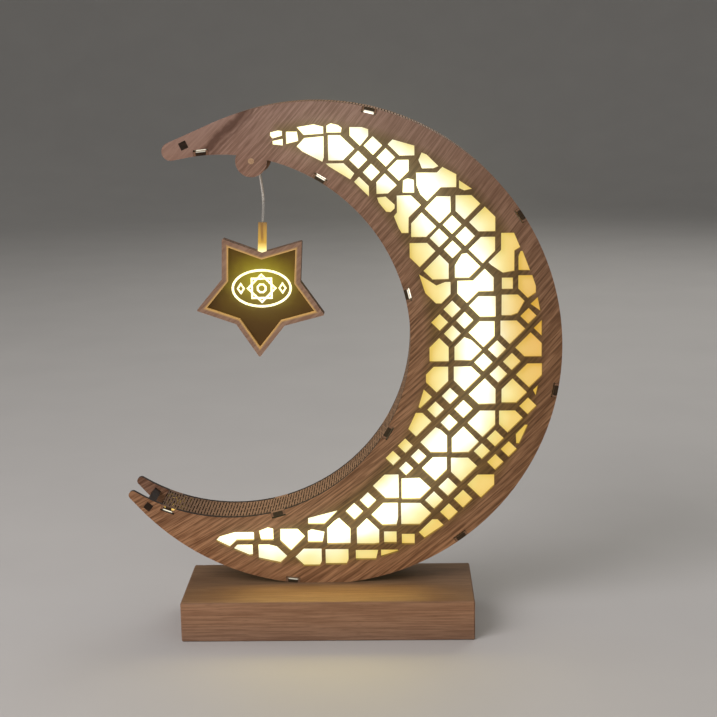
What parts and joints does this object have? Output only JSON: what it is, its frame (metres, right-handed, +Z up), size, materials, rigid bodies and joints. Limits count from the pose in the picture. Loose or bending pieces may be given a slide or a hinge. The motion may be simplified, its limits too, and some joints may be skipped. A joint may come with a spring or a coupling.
{
  "type": "eid crescent ornament",
  "caption": "Standing wooden crescent lamp with a pierced geometric front, bent walls and a lit star hung in its bay on a thin cable, on a block base.",
  "frame": {"origin": "centre of the base block's underside", "axes": "+X to the right as seen from the front, the pierced front faces -Y, +Z up"},
  "size_m": [0.2996, 0.0765, 0.361],
  "materials": {
    "base_timber": "satin",
    "veneer_sheet": "satin",
    "bent_sheet": "matte",
    "lit_sheet": "matte",
    "circuit": "satin",
    "led": "gloss",
    "black_plastic": "satin",
    "plated_steel": "satin",
    "peg_wood": "matte",
    "cable_sheath": "satin",
    "amber_panel": "gloss"
  },
  "bodies": {
    "lamp": {"base_block": "base_timber", "front_panel": "veneer_sheet", "rear_panel": "veneer_sheet", "outer_wall": "bent_sheet", "inner_wall": "bent_sheet", "diffuser": "lit_sheet", "led_strip": "circuit", "led_chips": "led", "power_inlet": "black_plastic", "inlet_nut": "plated_steel", "upper_tip_peg": "peg_wood", "lower_tip_peg": "peg_wood", "hanger_dowel": "peg_wood", "cable_feed": "cable_sheath"},
    "cable_link": {"star_cable_top": "cable_sheath"},
    "cable": {"star_cable": "cable_sheath"},
    "star": {"star_front_frame": "veneer_sheet", "star_panel": "amber_panel", "star_rear_frame": "veneer_sheet", "star_led_strip": "circuit", "star_led": "led"}
  },
  "joints": [
    {"name": "star_swing", "type": "hinge", "parent": "lamp", "child": "cable_link", "pos_m": [-0.04322, 0.0185, 0.31999], "axis": [0, 1, 0], "range_deg": [-25, 25]},
    {"name": "star_sway", "type": "hinge", "parent": "cable_link", "child": "cable", "pos_m": [-0.04161, 0.0185, 0.31106], "axis": [1, 0, 0], "range_deg": [-25, 25]},
    {"name": "star_twist", "type": "hinge", "parent": "cable", "child": "star", "pos_m": [-0.04099, 0.0185, 0.28034], "axis": [0, 0, 1], "range_deg": [-90, 90]}
  ]
}
